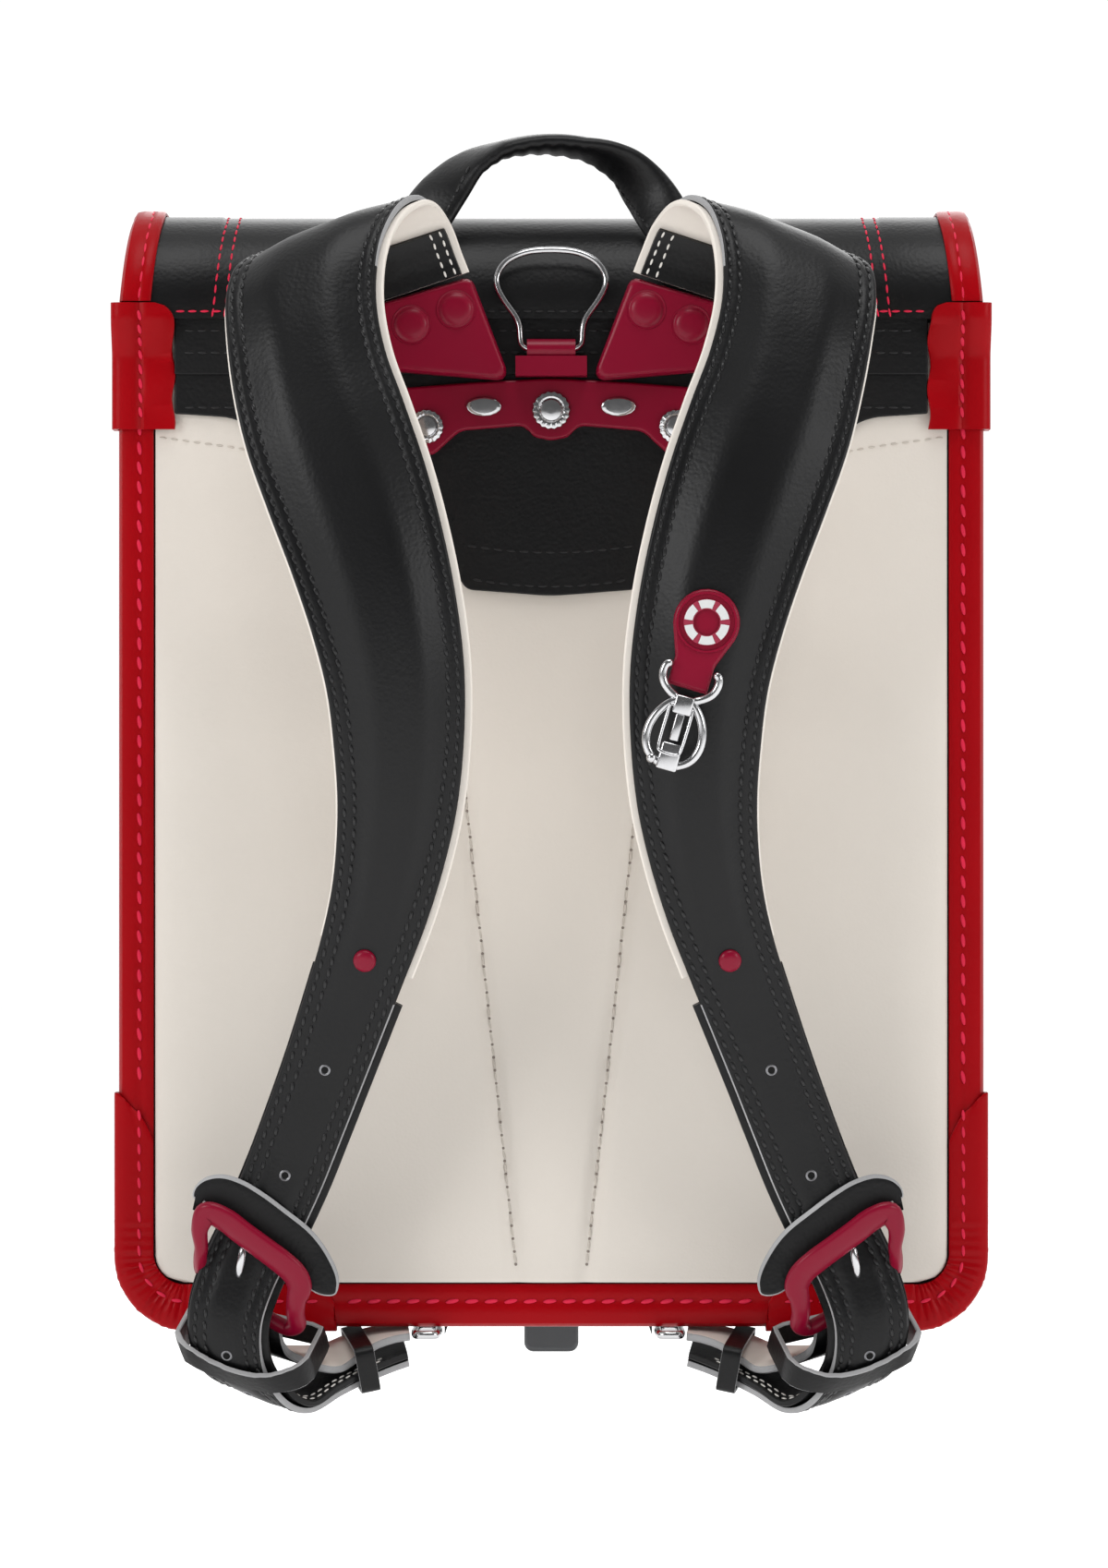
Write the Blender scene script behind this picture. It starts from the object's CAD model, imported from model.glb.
import math
import random

import bmesh
import bpy
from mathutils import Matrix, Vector


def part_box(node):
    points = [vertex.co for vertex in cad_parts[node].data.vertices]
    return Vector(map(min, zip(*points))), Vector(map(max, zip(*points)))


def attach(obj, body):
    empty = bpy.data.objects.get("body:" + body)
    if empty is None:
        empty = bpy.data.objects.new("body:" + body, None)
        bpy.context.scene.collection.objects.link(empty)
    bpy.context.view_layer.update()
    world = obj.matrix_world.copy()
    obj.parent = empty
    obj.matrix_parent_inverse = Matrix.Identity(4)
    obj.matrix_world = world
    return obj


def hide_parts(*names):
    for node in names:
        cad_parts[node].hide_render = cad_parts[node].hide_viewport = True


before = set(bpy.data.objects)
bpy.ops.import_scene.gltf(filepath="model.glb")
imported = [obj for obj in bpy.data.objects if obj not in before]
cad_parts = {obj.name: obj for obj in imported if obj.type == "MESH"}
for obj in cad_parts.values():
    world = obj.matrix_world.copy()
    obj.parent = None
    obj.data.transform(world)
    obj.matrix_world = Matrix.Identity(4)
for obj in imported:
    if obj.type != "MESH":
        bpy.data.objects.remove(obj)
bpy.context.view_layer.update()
chance = random.Random(7)


# The view: a long lens, level with the middle of the bag and two metres from its back panel, so that
# the near straps look hardly larger than the body behind them.
eye = Vector((0.00085, -2.0, -0.1945))
seen_height = 0.4822
lens = bpy.data.cameras.new("camera")
lens.lens = lens.sensor_width * -eye.y / seen_height
camera = bpy.data.objects.new("camera", lens)
camera.location = eye
camera.rotation_euler = (math.radians(90), 0, 0)
bpy.context.scene.collection.objects.link(camera)
bpy.context.scene.camera = camera
bpy.context.scene.view_settings.view_transform = "Standard"


# The room: a white paper floor, a sky that is white behind the bag and dim on the viewer's side, and
# large soft lamps to the left, to the right, above and behind.
floor_drop = 0.47
sweep_reach = 6.0
sweep = bmesh.new()
bmesh.ops.create_grid(sweep, x_segments=1, y_segments=1, size=sweep_reach)
bmesh.ops.translate(sweep, vec=(0, 0, -floor_drop), verts=sweep.verts)
sweep_sheet = bpy.data.meshes.new("floor")
sweep.to_mesh(sweep_sheet)
sweep.free()
floor = bpy.data.objects.new("floor", sweep_sheet)
bpy.context.scene.collection.objects.link(floor)
paper = bpy.data.materials.new("paper")
paper.use_nodes = True
paper.node_tree.nodes["Principled BSDF"].inputs["Base Color"].default_value = (0.94, 0.94, 0.94, 1)
paper.node_tree.nodes["Principled BSDF"].inputs["Roughness"].default_value = 0.9
paper.node_tree.nodes["Principled BSDF"].inputs["Emission Color"].default_value = (1, 1, 1, 1)
paper.node_tree.nodes["Principled BSDF"].inputs["Emission Strength"].default_value = 0.38
floor.data.materials.append(paper)

sky = bpy.data.worlds.new("sky")
sky.use_nodes = True
sky_nodes, sky_links = sky.node_tree.nodes, sky.node_tree.links
sky_nodes["Background"].inputs["Color"].default_value = (1, 1, 1, 1)
sky_way = sky_nodes.new("ShaderNodeTexCoord")
sky_parts = sky_nodes.new("ShaderNodeSeparateXYZ")
sky_fall = sky_nodes.new("ShaderNodeMapRange")
sky_fall.interpolation_type = "SMOOTHSTEP"
sky_fall.inputs["From Min"].default_value = -0.45
sky_fall.inputs["From Max"].default_value = 0.3
sky_fall.inputs["To Min"].default_value = 0.14
sky_fall.inputs["To Max"].default_value = 1.06
sky_links.new(sky_way.outputs["Generated"], sky_parts.inputs["Vector"])
sky_links.new(sky_parts.outputs["Y"], sky_fall.inputs["Value"])
sky_links.new(sky_fall.outputs["Result"], sky_nodes["Background"].inputs["Strength"])
bpy.context.scene.world = sky

lamp_middle = Vector((0, 0, -0.19))
for lamp_name, lamp_place, lamp_size, lamp_power in (
    ("lamp_left", (-1.5, -1.3, 0.5), 0.8, 15.5),
    ("lamp_right", (1.6, -1.1, 0.3), 0.7, 9.5),
    ("lamp_above", (0.1, -0.7, 1.5), 1.0, 15),
    ("lamp_behind", (0.3, 1.6, 0.9), 1.2, 10),
):
    bulb = bpy.data.lights.new(lamp_name, "AREA")
    bulb.size = lamp_size
    bulb.energy = lamp_power
    lamp = bpy.data.objects.new(lamp_name, bulb)
    lamp.location = lamp_place
    lamp.rotation_mode = "QUATERNION"
    lamp.rotation_quaternion = (lamp_middle - lamp.location).to_track_quat("-Z", "Y")
    bpy.context.scene.collection.objects.link(lamp)


# The body: stiff black artificial leather over board, folded and stitched into a box with two
# smaller compartments on its far side. Its edges are skived and painted, so they are slightly round.
leather_black = (0.0036, 0.0036, 0.0040)
leather_grain = 0.0011
edge_round = 0.0006


def leather(name, colour, roughness, grain, depth, mottling, shine=0.28):
    """Leather with pebbled grain, fine creases and slow changes of tone."""
    look = bpy.data.materials.new(name)
    look.use_nodes = True
    nodes, links = look.node_tree.nodes, look.node_tree.links
    shader = nodes["Principled BSDF"]
    shader.inputs["Specular IOR Level"].default_value = shine
    place = nodes.new("ShaderNodeTexCoord")
    pebbles = nodes.new("ShaderNodeTexVoronoi")
    pebbles.feature = "SMOOTH_F1"
    pebbles.inputs["Scale"].default_value = 1 / grain
    creases = nodes.new("ShaderNodeTexNoise")
    creases.inputs["Scale"].default_value = 0.45 / grain
    creases.inputs["Detail"].default_value = 5
    tone = nodes.new("ShaderNodeTexNoise")
    tone.inputs["Scale"].default_value = 22
    tone.inputs["Detail"].default_value = 4
    for texture in (pebbles, creases, tone):
        links.new(place.outputs["Object"], texture.inputs["Vector"])
    relief = nodes.new("ShaderNodeMath")
    relief.operation = "ADD"
    links.new(pebbles.outputs["Distance"], relief.inputs[0])
    links.new(creases.outputs["Fac"], relief.inputs[1])
    bump = nodes.new("ShaderNodeBump")
    bump.inputs["Strength"].default_value = 0.7
    bump.inputs["Distance"].default_value = depth
    links.new(relief.outputs["Value"], bump.inputs["Height"])
    links.new(bump.outputs["Normal"], shader.inputs["Normal"])
    shade = nodes.new("ShaderNodeMix")
    shade.data_type = "RGBA"
    shade.inputs["A"].default_value = [part * (1 - mottling) for part in colour] + [1]
    shade.inputs["B"].default_value = [min(1, part * (1 + mottling)) for part in colour] + [1]
    links.new(tone.outputs["Fac"], shade.inputs["Factor"])
    links.new(shade.outputs["Result"], shader.inputs["Base Color"])
    polish = nodes.new("ShaderNodeMapRange")
    polish.inputs["To Min"].default_value = roughness - 0.07
    polish.inputs["To Max"].default_value = roughness + 0.07
    links.new(tone.outputs["Fac"], polish.inputs["Value"])
    links.new(polish.outputs["Result"], shader.inputs["Roughness"])
    return look


def placed(name, mesh, looks, stands_for=(), body="bag", crease=38):
    """The finished mesh as a piece of the bag, smooth but for its sharp corners."""
    sheet = bpy.data.meshes.new(name)
    for face in mesh.faces:
        face.smooth = True
    mesh.to_mesh(sheet)
    mesh.free()
    for look in looks:
        sheet.materials.append(look)
    sheet.set_sharp_from_angle(angle=math.radians(crease))
    piece = bpy.data.objects.new(name, sheet)
    bpy.context.scene.collection.objects.link(piece)
    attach(piece, body)
    if stands_for:
        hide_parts(*stands_for)
    return piece


def solid_copy(node):
    """A merged copy of a node's solid."""
    mesh = bmesh.new()
    mesh.from_mesh(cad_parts[node].data)
    bmesh.ops.remove_doubles(mesh, verts=mesh.verts, dist=2e-6)
    return mesh


def dressed(node, looks, rounding=edge_round, drop=0.0):
    """A stiff piece in its solid's shape, with rounded edges and, if asked, its lower end brought down."""
    mesh = solid_copy(node)
    lower_end = min(corner.co.z for corner in mesh.verts) + 0.004
    for corner in mesh.verts:
        if corner.co.z < lower_end:
            corner.co.z -= drop
    bmesh.ops.dissolve_limit(mesh, angle_limit=0.01, verts=mesh.verts, edges=mesh.edges)
    sharp = [edge for edge in mesh.edges if edge.is_manifold and edge.calc_face_angle() > 0.6]
    bmesh.ops.bevel(
        mesh, geom=sharp, offset=rounding, segments=3, profile=0.5, material=-1, affect="EDGES",
        clamp_overlap=True
    )
    piece = placed(f"{node}_dressed", mesh, looks, [node])
    evened = piece.modifiers.new("even_light", "WEIGHTED_NORMAL")
    evened.keep_sharp = True
    return piece


black_leather = leather("black_leather", leather_black, 0.40, leather_grain, 0.00009, 0.3, 0.26)
for part in ("back_board", "main_gusset", "main_front", "small_compartment", "front_pocket", "lid_tongue"):
    dressed(part, [black_leather])


# The lid: one wide black flap from the top seam of the back, over the top and down the far side.
# Red and black thread sew its rear edge down, and red thread runs in double rows beside both sides.
lid_wall = 0.0026
lid_start = -0.0519
lid_rear = Vector((0, 0.0221, -0.0484))
lid_rear_radius = 0.030
lid_front = Vector((0, 0.1507, -0.0524))
lid_front_radius = 0.034
lid_lean = 0.0246
lid_end = -0.3414
lid_corner = 0.028
lid_half_rear = 0.1315
lid_half_top = 0.1276
lid_row_insets = (0.0275, 0.0312)
lid_rear_steps = 28
lid_front_steps = 24
lid_corner_steps = 10
lid_row_places = 58
lid_pitch = 0.0037
seam_black_half = 0.098
seam_red_end = 0.1155
thread_red = (0.62, 0.010, 0.048)


def lid_stations():
    """Places down the lid: a point on its outer face, the way out of it, and its half width."""
    found = [(Vector((0, lid_rear.y - lid_rear_radius, lid_start)), Vector((0, -1, 0)), lid_half_rear)]
    for step in range(lid_rear_steps + 1):
        turn = math.pi - step / lid_rear_steps * math.pi / 2
        out = Vector((0, math.cos(turn), math.sin(turn)))
        share = min(1, (1 + step / lid_rear_steps * 8) / 7)
        half = lid_half_rear + (lid_half_top - lid_half_rear) * share
        found.append((lid_rear + out * lid_rear_radius, out, half))
    for step in range(lid_front_steps + 1):
        turn = math.pi / 2 - step / lid_front_steps * (math.pi / 2 - lid_lean)
        out = Vector((0, math.cos(turn), math.sin(turn)))
        found.append((lid_front + out * lid_front_radius, out, lid_half_top))
    last, out, half = found[-1]
    fall = last.z - lid_end
    drops = [fall * share for share in (0.2, 0.4, 0.6, 0.8)]
    for step in range(lid_corner_steps + 1):
        drops.append(fall - lid_corner * (1 - math.sin(step / lid_corner_steps * math.pi / 2)))
    for drop in drops:
        rise = max(0, (drop - fall + lid_corner) / lid_corner)
        tuck = lid_corner * (1 - math.sqrt(max(0, 1 - rise**2)))
        found.append((last + Vector((0, drop * math.tan(lid_lean), -drop)), out, half - tuck))
    return found


def swept(rings, closed=False, paint=None):
    """A skin over rings of points: a grid wrapped round them and merged, with its ends filled."""
    around = len(rings[0])
    rows = len(rings) if closed else len(rings) - 1
    mesh = bmesh.new()
    mesh.loops.layers.uv.new("along")
    bmesh.ops.create_grid(mesh, x_segments=around, y_segments=rows, size=0.5, calc_uvs=True)
    mesh.verts.ensure_lookup_table()
    for number, corner in enumerate(mesh.verts):
        row, column = divmod(number, around + 1)
        corner.co = rings[row % len(rings)][column % around]
    if paint:
        for number, face in enumerate(mesh.faces):
            row, column = divmod(number, around)
            face.material_index = paint(row, column)
    bmesh.ops.remove_doubles(mesh, verts=mesh.verts, dist=1e-7)
    if not closed:
        rims = [edge for edge in mesh.edges if edge.is_boundary]
        caps = bmesh.ops.holes_fill(mesh, edges=rims, sides=0)["faces"]
        bmesh.ops.triangulate(mesh, faces=caps)
    bmesh.ops.recalc_face_normals(mesh, faces=mesh.faces)
    return mesh


def stitch_places(path, pitch, first=0.5):
    """Evenly spaced places along a path of points and outward directions."""
    places = []
    walked = 0.0
    due = pitch * first
    for (here, out), (there, next_out) in zip(path, path[1:]):
        span = (there - here).length
        while span > 0 and due <= walked + span:
            share = (due - walked) / span
            along = (there - here).normalized()
            places.append((here.lerp(there, share), along, out.lerp(next_out, share).normalized()))
            due += pitch
        walked += span
    return places


def sewn(name, places, length, width, look, slant=0.0):
    """Thread: a small rounded stitch at each place, pulled in at both ends."""
    bead = bmesh.new()
    bmesh.ops.create_uvsphere(bead, u_segments=8, v_segments=6, radius=0.5)
    bead_corners = [corner.co.copy() for corner in bead.verts]
    bead_faces = [[corner.index for corner in face.verts] for face in bead.faces]
    bead.free()
    corners, faces = [], []
    for spot, along, out in places:
        across = out.cross(along).normalized()
        tilt = slant + chance.uniform(-0.06, 0.06)
        run = (along * math.cos(tilt) + across * math.sin(tilt)).normalized()
        side = out.cross(run).normalized()
        faces += [[index + len(corners) for index in face] for face in bead_faces]
        corners += [
            spot + out * (corner.x * width * 0.8) + side * corner.y * width + run * corner.z * length
            for corner in bead_corners
        ]
    sheet = bpy.data.meshes.new(name)
    sheet.from_pydata(corners, [], faces)
    mesh = bmesh.new()
    mesh.from_mesh(sheet)
    bpy.data.meshes.remove(sheet)
    bmesh.ops.recalc_face_normals(mesh, faces=mesh.faces)
    return placed(name, mesh, [look])


lid_rings = []
lid_places = lid_stations()
for point, out, half in lid_places:
    step_in = (lid_row_insets[0] - 0.0018, lid_row_insets[0] - 0.0010)
    outer = [
        (-half, -0.0007), (-half + 0.0007, 0.0), (-half + step_in[0], 0.0), (-half + step_in[1], -0.0004)
    ]
    outer += [(half - step_in[1], -0.0004), (half - step_in[0], 0.0), (half - 0.0007, 0.0), (half, -0.0007)]
    inner = [
        (half, -lid_wall + 0.0006), (half - 0.0006, -lid_wall), (-half + 0.0006, -lid_wall),
        (-half, -lid_wall + 0.0006)
    ]
    lid_rings.append([point + out * lift + Vector((x, 0, 0)) for x, lift in outer + inner])
placed("lid_leather", swept(lid_rings), [black_leather], ["lid"])

red_thread = leather("red_thread", thread_red, 0.55, 0.0004, 0.00004, 0.2)
black_thread = leather("black_thread", (0.0075, 0.0075, 0.008), 0.38, 0.0004, 0.00004, 0.2, 0.4)
lid_stitches = []
for side in (-1, 1):
    for inset in lid_row_insets:
        path = [
            (point + Vector((side * (half - inset), 0, 0)) - out * 0.0003, out)
            for point, out, half in lid_places[:lid_row_places]
        ]
        lid_stitches += stitch_places(path, lid_pitch)
seam_height = lid_start + 0.0022
seam_face = Vector((0, lid_rear.y - lid_rear_radius - 0.0001, seam_height))
for start, stop in ((-seam_red_end, -0.1), (0.1, seam_red_end)):
    path = [(seam_face + Vector((x, 0, 0)), Vector((0, -1, 0))) for x in (start, stop)]
    lid_stitches += stitch_places(path, lid_pitch)
sewn("lid_stitches", lid_stitches, 0.0027, 0.0007, red_thread)
path = [(seam_face + Vector((x, 0, 0)), Vector((0, -1, 0))) for x in (-seam_black_half, seam_black_half)]
sewn("lid_seam_stitches", stitch_places(path, lid_pitch), 0.0027, 0.0008, black_thread)


# The lid's piping: a strip of glossy red leather folded over the lid's edge and sewn through,
# down each side and round the lower corner to the tongue.
leather_red = (0.30, 0.0006, 0.0035)
piping_width = 0.0096
piping_inside = 0.007
piping_wall = 0.0012
clearance = 0.0003
tongue_half = 0.042
red_leather = leather("red_leather", leather_red, 0.34, 0.0016, 0.00006, 0.10, 0.09)


def piping_stations(side):
    """Edge places of the lid: a point on its edge, the way in over the lid, and the way out of it."""
    found = []
    corner_from = len(lid_places) - 1 - lid_corner_steps
    for number, (point, out, half) in enumerate(lid_places[2:], start=2):
        turn = max(0, number - corner_from) / lid_corner_steps * math.pi / 2
        up = Vector((0, -math.sin(lid_lean), math.cos(lid_lean)))
        inward = Vector((-side * math.cos(turn), 0, 0)) + up * math.sin(turn)
        found.append((point + Vector((side * half, 0, 0)), inward, out))
    edge, inward, out = found[-1]
    found.append((Vector((side * (tongue_half + 0.0006), edge.y, edge.z)), inward, out))
    return found


deep = -clearance - piping_wall
piping_fold = [
    # in from the lid's edge, out of its face
    (deep + piping_width, clearance + 0.0001), (deep + piping_width, clearance + piping_wall * 0.8),
    (deep + piping_width - 0.0005, clearance + piping_wall * 1.15),
    (deep + 0.0066, clearance + piping_wall * 1.25), (deep + 0.0060, clearance + piping_wall * 1.05),
    (deep + 0.0054, clearance + piping_wall * 1.2), (deep + 0.003, clearance + piping_wall * 1.3),
    (deep + 0.001, clearance + piping_wall), (deep, clearance * 0.2), (deep, -lid_wall - 0.0002),
    (deep + 0.0008, -lid_wall - clearance - piping_wall * 0.9),
    (deep + 0.002, -lid_wall - clearance - piping_wall),
    (deep + piping_inside, -lid_wall - clearance - piping_wall),
    (deep + piping_inside, -lid_wall - clearance), (-clearance, -lid_wall - clearance),
    (-clearance, clearance),
]
piping_row = deep + 0.0060
for side, name in ((-1, "left"), (1, "right")):
    stations = piping_stations(side)
    rings = [
        [edge + inward * depth + out * lift for depth, lift in piping_fold]
        for edge, inward, out in stations
    ]
    placed(f"piping_{name}", swept(rings), [red_leather], [f"lid_piping_{name}"])
    path = [
        (edge + inward * piping_row + out * (clearance + piping_wall), out)
        for edge, inward, out in stations
    ]
    sewn(f"piping_stitches_{name}", stitch_places(path, 0.0052), 0.0036, 0.0009, red_thread)


# The binding: red leather folded over the edge of the back panel and sewn with red thread.
# Over both lower corners a second piece is gathered into small pleats that the seam holds down.
back_half = 0.133
back_bottom = -0.3614
panel_corner = 0.022
board_wall = 0.004
binding_side = 0.0108
binding_bottom = 0.0133
binding_rear = 0.008
binding_top = -0.0524
binding_wall = 0.0018
wrap_wall = 0.001
wrap_start = back_bottom + 0.072
wrap_run = 0.045
binding_row_share = 0.6


def edge_stations(start, run, spacing):
    """Places down the panel's left edge, round its corner and along the bottom to run past the corner."""
    turn_point = Vector((-back_half + panel_corner, 0, back_bottom + panel_corner))
    fall = start - turn_point.z
    down = max(2, round(fall / spacing))
    found = [
        (Vector((-back_half, 0, start - fall * step / down)), Vector((1, 0, 0)), 0.0)
        for step in range(down)
    ]
    bends = max(8, round(panel_corner * math.pi / 2 / spacing))
    for step in range(bends + 1):
        share = step / bends
        inward = Vector((math.cos(share * math.pi / 2), 0, math.sin(share * math.pi / 2)))
        found.append((turn_point - inward * panel_corner, inward, share))
    along = max(1, round(run / spacing))
    found += [
        (Vector((turn_point.x + run * step / along, 0, back_bottom)), Vector((0, 0, 1)), 1.0)
        for step in range(1, along + 1)
    ]
    return found


def fold_section(low, wall, lift, front_wing=None):
    """The folded strip in section: how far in from the edge, and how far forward of the panel."""
    wing = binding_side + (binding_bottom - binding_side) * low if front_wing is None else front_wing
    front = clearance + lift
    rear = board_wall + clearance + lift
    inside = -clearance if lift > 0 else binding_wall
    outside = inside - wall
    seam = wing * binding_row_share
    return [
        (wing, -front + 0.0002), (wing, -front - wall * 0.8), (wing - 0.0006, -front - wall),
        (seam + 0.0012, -front - wall), (seam, -front - wall * 0.8),
        (seam - 0.0012, -front - wall * 1.05), (outside + 0.0035, -front - wall * 1.15),
        (outside + 0.0012, -front - wall * 0.8), (outside + 0.0003, -front), (outside, -front + 0.0012),
        (outside, rear - 0.0012), (outside + 0.0003, rear), (outside + wall, rear + wall),
        (binding_rear, rear + wall), (binding_rear, rear), (inside, rear), (inside, -front),
    ]


left_half = edge_stations(binding_top, back_half - panel_corner, 0.004)
right_half = [
    (Vector((-at.x, 0, at.z)), Vector((-inward.x, 0, inward.z)), low)
    for at, inward, low in reversed(left_half[:-1])
]
binding_places = left_half + right_half
rings = [
    [at + inward * depth + Vector((0, y, 0)) for depth, y in fold_section(low, binding_wall, 0)]
    for at, inward, low in binding_places
]
placed("binding_fold", swept(rings), [red_leather], ["binding"])
forward = Vector((0, -1, 0))
seam_lift = clearance + binding_wall
path = []
for at, inward, low in binding_places:
    wing = binding_side + (binding_bottom - binding_side) * low
    path.append((at + inward * wing * binding_row_share + forward * seam_lift, forward))
bottom_path = [(at, out) for (at, out) in path if abs(at.x) < back_half - panel_corner - wrap_run + 0.001]
binding_sewn = stitch_places([spot for spot in path if spot[0].z > wrap_start and spot[0].x < 0], 0.006)
binding_sewn += stitch_places([spot for spot in path if spot[0].z > wrap_start and spot[0].x > 0], 0.006)
binding_sewn += stitch_places(bottom_path, 0.006)
sewn("binding_stitches", binding_sewn, 0.0042, 0.0014, red_thread, slant=0.15)


gather_middle = 0.56
gather_reach = 0.27
wrap_lift = 2 * clearance + binding_wall + wrap_wall


def pleat(share, turn):
    """How far a pleat lifts the wrap at a place along it and a share of the way in."""
    packed = max(0.0, 1 - abs(share - gather_middle) / gather_reach)
    wave = math.sin(turn * 9.5 + 0.6 * math.sin(turn * 23)) * math.sin(turn * 17 + 1)
    return packed**0.6 * wave


for side, name in ((-1, "left"), (1, "right")):
    places = edge_stations(wrap_start, wrap_run, 0.0007)
    rings = []
    for number, (at, inward, low) in enumerate(places):
        share = number / (len(places) - 1)
        ease = min(1, share * 12, (1 - share) * 12)
        lift = pleat(share, number * 0.06)
        ring = []
        section = fold_section(
            low, wrap_wall, binding_wall + clearance,
            (binding_side + (binding_bottom - binding_side) * low) * ease**0.2
        )
        for depth, y in section:
            fold = 0.0
            if y < -0.0023 and 0.0 < depth < binding_bottom:
                fold = lift * 0.00055 * math.sin(min(1, depth / 0.003) * math.pi / 2)
                if abs(depth - binding_bottom * binding_row_share) < 0.0013:
                    fold *= 0.3
            point = at + inward * depth + Vector((0, y - fold, 0))
            point.z -= max(0.0, depth) * 0.9 * max(0.0, 1 - number / 26)
            if y > -0.0026 and depth < 0:
                point = point - inward * max(0, lift) * 0.0003
            ring.append(Vector((-side * point.x, point.y, point.z)) if side > 0 else point)
        rings.append(ring)
    placed(f"corner_gather_{name}", swept(rings), [red_leather], [f"corner_wrap_{name}"])
    path = []
    for at, inward, low in places[6:-6]:
        wing = binding_side + (binding_bottom - binding_side) * low
        point = at + inward * wing * binding_row_share + forward * wrap_lift
        path.append((Vector((-side * point.x, point.y, point.z)) if side > 0 else point, forward))
    sewn(
        f"corner_stitches_{name}", stitch_places(path, 0.0052), 0.0034, 0.0011, red_thread,
        slant=0.1
    )


# The red tabs at the upper corners lie over the lid's corners and the binding and hold both: heavy
# red stitches run down the middle of each, and its inner edge is left raw and slightly wavy.
tab_top = -0.0471
tab_bottom = -0.0856
tab_outside = 0.1349
tab_width = 0.0193
tab_wall = 0.0016
tab_seam = 0.0088
tab_rear = 0.0064
tab_over_lid = -0.0082
tab_over_binding = -0.0024
tab_corner = 0.005
tab_steps = 44


def eased(value, low, high):
    """A smooth step between two values."""
    share = min(1, max(0, (value - low) / (high - low)))
    return share * share * (3 - 2 * share)


for side, name in ((-1, "left"), (1, "right")):
    rings, path = [], []
    for step in range(tab_steps + 1):
        z = tab_top + (tab_bottom - tab_top) * step / tab_steps
        back = tab_over_lid + (tab_over_binding - tab_over_lid) * eased(-z, 0.0512, 0.0640)
        front = back - tab_wall
        from_top = min(tab_top - z, tab_corner)
        width = tab_width - (
            tab_corner - math.sqrt(max(0, tab_corner**2 - (tab_corner - from_top) ** 2))
        )
        width += 0.0005 * math.sin(z * 420 + side) - 0.0003
        swell = 0.0003 * math.sin(z * 300 + 2 * side)
        section = [
            (width, back), (width, front + 0.0003), (width - 0.0004, front),
            (tab_seam + 0.0026, front - swell), (tab_seam + 0.0011, front - 0.0001),
            (tab_seam, front + 0.0005), (tab_seam - 0.0011, front - 0.0003),
            (tab_seam - 0.003, front - 0.0009), (0.0026, front - 0.0007), (0.0008, front - 0.0001),
            (0, front + 0.0010), (0, tab_rear + 0.0008), (0.0006, tab_rear + tab_wall),
            (0.0080, tab_rear + tab_wall), (0.0080, tab_rear), (tab_wall, tab_rear), (tab_wall, back),
        ]
        rings.append([Vector((side * (tab_outside - inset), y, z)) for inset, y in section])
        path.append((Vector((side * (tab_outside - tab_seam), front + 0.0002, z)), forward))
    placed(f"top_tab_cover_{name}", swept(rings), [red_leather], [f"top_tab_{name}"])
    sewn(
        f"tab_stitches_{name}", stitch_places(path[2:-2], 0.0044), 0.0033, 0.0013, red_thread,
        slant=0.2
    )


# The back pad: soft cream leather over foam, thin where the black yoke covers it and full below.
# Two lines of stitching run down and together, so a narrow panel stands out between them.
cream_colour = (0.635, 0.59, 0.535)
pad_half = back_half - binding_side - 2 * clearance
pad_top = -0.0528
pad_bottom = back_bottom + binding_bottom + 2 * clearance
pad_corner = 0.0085
pad_edge = 0.001
pad_full = 0.0065
panel_rise = 0.0012
panel_half_top = 0.033
panel_half_bottom = 0.0103
panel_from = 0.28
panel_to = 0.985
panel_seam_steps = 140


def panel_half(down):
    """Half the width between the two seams at a share of the way down."""
    share = min(1, max(0, (down - panel_from) / (1 - panel_from)))
    return panel_half_top + (panel_half_bottom - panel_half_top) * share


def pad_rise(x, down, edge):
    """How far the pad stands out at a place across and down it."""
    swell = eased(down, 0.29, 0.44) * (1 - 0.5 * eased(down, 0.92, 1.0))
    to_edge = (edge - abs(x)) / edge
    side = 0.25 + 0.75 * math.sqrt(max(0, 1 - (1 - min(1, to_edge / 0.16)) ** 2))
    rise = pad_edge + (pad_full - pad_edge) * swell * side
    seam = abs(x) - panel_half(down)
    if seam < 0:
        rise += panel_rise * swell * math.sqrt(min(1, -seam / 0.012))
    rise -= 0.0019 * swell * math.exp(-((seam / 0.0022) ** 2))
    rise -= 0.0006 * swell * math.exp(-((seam / 0.008) ** 2))
    return rise


pad = bmesh.new()
pad_columns, pad_rows = 170, 190
bmesh.ops.create_grid(pad, x_segments=pad_columns, y_segments=pad_rows, size=0.5)
pad.verts.ensure_lookup_table()
for number, corner in enumerate(pad.verts):
    row, column = divmod(number, pad_columns + 1)
    down = 1 - row / pad_rows
    z = pad_top + (pad_bottom - pad_top) * down
    above = min(z - pad_bottom, pad_corner)
    edge = pad_half - (pad_corner - math.sqrt(max(0, pad_corner**2 - (pad_corner - above) ** 2)))
    across = column / pad_columns * 2 - 1
    across = math.copysign(1 - (1 - abs(across)) ** 1.25, across)
    x = across * edge
    corner.co = (x, -clearance - pad_rise(x, down, edge), z)
rim = [edge for edge in pad.edges if edge.is_boundary]
walls = bmesh.ops.extrude_edge_only(pad, edges=rim)["geom"]
for corner in [part for part in walls if isinstance(part, bmesh.types.BMVert)]:
    corner.co.y = -clearance
bmesh.ops.holes_fill(pad, edges=[edge for edge in pad.edges if edge.is_boundary], sides=0)
bmesh.ops.recalc_face_normals(pad, faces=pad.faces)
cream_leather = leather("cream_leather", cream_colour, 0.62, 0.0009, 0.00006, 0.035)
pad_piece = placed("back_pad_cover", pad, [cream_leather], ["back_pad"], crease=60)

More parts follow.
